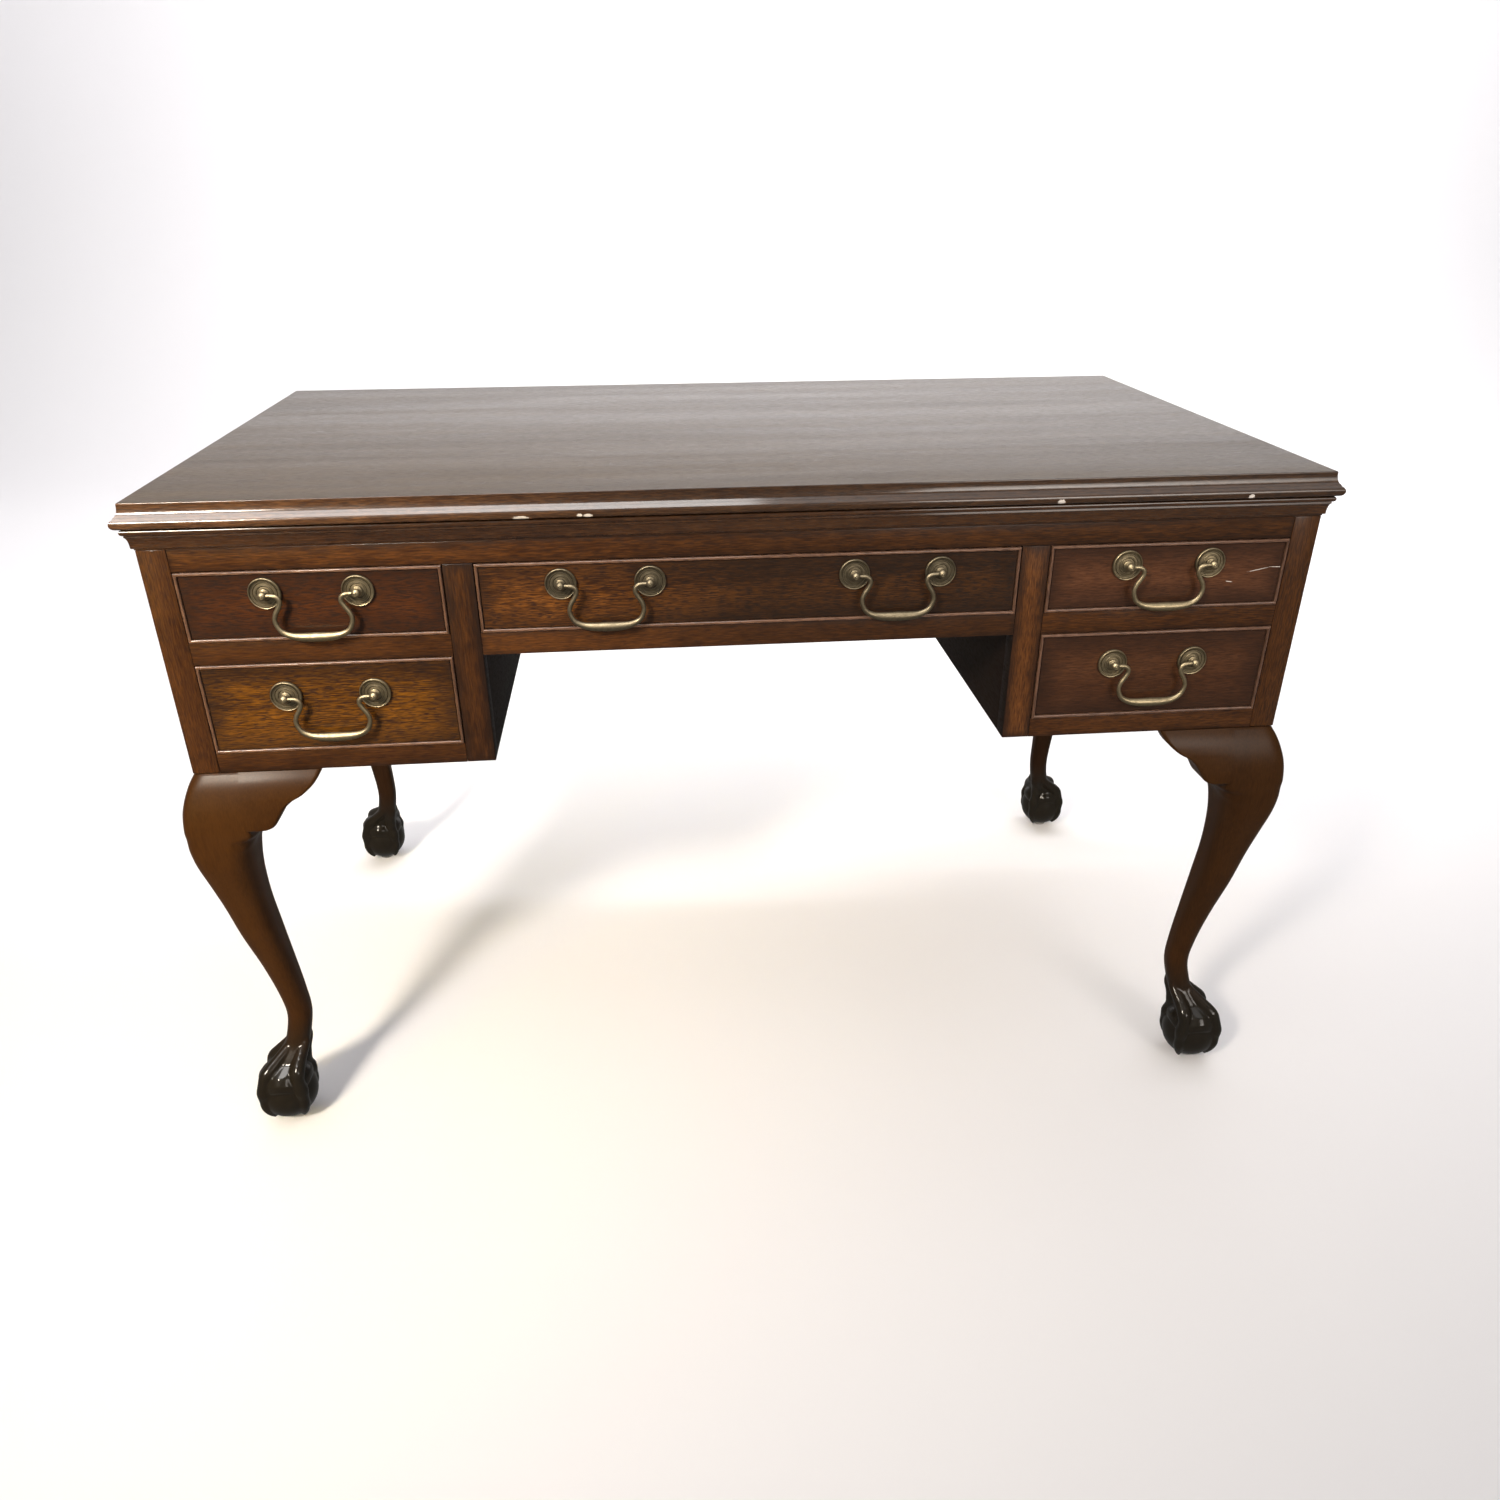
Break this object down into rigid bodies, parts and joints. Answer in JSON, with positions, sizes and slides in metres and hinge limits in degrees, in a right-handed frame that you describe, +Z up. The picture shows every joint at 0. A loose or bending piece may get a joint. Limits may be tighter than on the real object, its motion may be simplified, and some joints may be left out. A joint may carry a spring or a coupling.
{
  "type": "kneehole writing desk",
  "caption": "Wooden kneehole writing desk with drawers, swan-neck brass pulls, a moulded top and cabriole legs with ball-and-claw feet.",
  "frame": {"origin": "on the floor under the middle of the desk", "axes": "+X to the right as seen from the front, along the length; +Y to the back; +Z up"},
  "size_m": [1.224, 0.684, 0.768],
  "materials": {
    "top_wood": "dark mahogany, satin varnish, straight grain along the top",
    "case_wood": "dark mahogany, satin varnish, worn edges",
    "drawer_wood": "red-brown figured mahogany with dark pores, satin varnish",
    "leg_wood": "dark mahogany, glossy varnish, nearly black at the feet",
    "inner_wood": "unpolished secondary wood",
    "brass": "old brass, brown patina",
    "glide": "pale, matte, scuffed"
  },
  "bodies": {
    "root": {"top_board": "top_wood", "moulding_front": "case_wood", "moulding_left": "case_wood", "moulding_right": "case_wood", "top_rail": "case_wood", "side_left": "case_wood", "side_right": "case_wood", "inner_stile_left": "case_wood", "inner_stile_right": "case_wood", "kneehole_side_left": "inner_wood", "kneehole_side_right": "inner_wood", "drawer_divider_left": "case_wood", "drawer_divider_right": "case_wood", "pedestal_bottom_left": "case_wood", "pedestal_bottom_right": "case_wood", "centre_rail": "case_wood", "back_panel": "inner_wood", "leg_front_left": "leg_wood", "glide_front_left": "glide", "leg_front_right": "leg_wood", "glide_front_right": "glide", "leg_rear_left": "leg_wood", "glide_rear_left": "glide", "leg_rear_right": "leg_wood", "glide_rear_right": "glide", "bracket_front_left": "leg_wood", "bracket_front_side_left": "leg_wood", "bracket_rear_side_left": "leg_wood", "bracket_front_right": "leg_wood", "bracket_front_side_right": "leg_wood", "bracket_rear_side_right": "leg_wood"},
    "drawer_centre": {"drawer_front_centre": "drawer_wood", "drawer_box_centre": "inner_wood", "post_centre_left_left": "brass", "post_centre_left_right": "brass", "post_centre_right_left": "brass", "post_centre_right_right": "brass"},
    "bail_centre_left": {"bail_centre_left": "brass"},
    "bail_centre_right": {"bail_centre_right": "brass"},
    "drawer_upper_left": {"drawer_front_upper_left": "drawer_wood", "drawer_box_upper_left": "inner_wood", "post_upper_left_left": "brass", "post_upper_left_right": "brass"},
    "bail_upper_left": {"bail_upper_left": "brass"},
    "drawer_lower_left": {"drawer_front_lower_left": "drawer_wood", "drawer_box_lower_left": "inner_wood", "post_lower_left_left": "brass", "post_lower_left_right": "brass"},
    "bail_lower_left": {"bail_lower_left": "brass"},
    "drawer_upper_right": {"drawer_front_upper_right": "drawer_wood", "drawer_box_upper_right": "inner_wood", "post_upper_right_left": "brass", "post_upper_right_right": "brass"},
    "bail_upper_right": {"bail_upper_right": "brass"},
    "drawer_lower_right": {"drawer_front_lower_right": "drawer_wood", "drawer_box_lower_right": "inner_wood", "post_lower_right_left": "brass", "post_lower_right_right": "brass"},
    "bail_lower_right": {"bail_lower_right": "brass"}
  },
  "joints": [
    {"name": "slide_centre", "type": "slide", "parent": "root", "child": "drawer_centre", "axis": [0, -1, 0], "range_m": [0, 0.4]},
    {"name": "swing_centre_left", "type": "hinge", "parent": "drawer_centre", "child": "bail_centre_left", "pos_m": [-0.148, -0.3305, 0.67625], "axis": [-1, 0, 0], "range_deg": [-4, 165]},
    {"name": "swing_centre_right", "type": "hinge", "parent": "drawer_centre", "child": "bail_centre_right", "pos_m": [0.148, -0.3305, 0.67625], "axis": [-1, 0, 0], "range_deg": [-4, 165]},
    {"name": "slide_upper_left", "type": "slide", "parent": "root", "child": "drawer_upper_left", "axis": [0, -1, 0], "range_m": [0, 0.4]},
    {"name": "swing_upper_left", "type": "hinge", "parent": "drawer_upper_left", "child": "bail_upper_left", "pos_m": [-0.43415, -0.3305, 0.67625], "axis": [-1, 0, 0], "range_deg": [-4, 165]},
    {"name": "slide_lower_left", "type": "slide", "parent": "root", "child": "drawer_lower_left", "axis": [0, -1, 0], "range_m": [0, 0.4]},
    {"name": "swing_lower_left", "type": "hinge", "parent": "drawer_lower_left", "child": "bail_lower_left", "pos_m": [-0.43415, -0.3305, 0.56725], "axis": [-1, 0, 0], "range_deg": [-4, 165]},
    {"name": "slide_upper_right", "type": "slide", "parent": "root", "child": "drawer_upper_right", "axis": [0, -1, 0], "range_m": [0, 0.4]},
    {"name": "swing_upper_right", "type": "hinge", "parent": "drawer_upper_right", "child": "bail_upper_right", "pos_m": [0.43415, -0.3305, 0.67625], "axis": [-1, 0, 0], "range_deg": [-4, 165]},
    {"name": "slide_lower_right", "type": "slide", "parent": "root", "child": "drawer_lower_right", "axis": [0, -1, 0], "range_m": [0, 0.4]},
    {"name": "swing_lower_right", "type": "hinge", "parent": "drawer_lower_right", "child": "bail_lower_right", "pos_m": [0.43415, -0.3305, 0.56725], "axis": [-1, 0, 0], "range_deg": [-4, 165]}
  ]
}
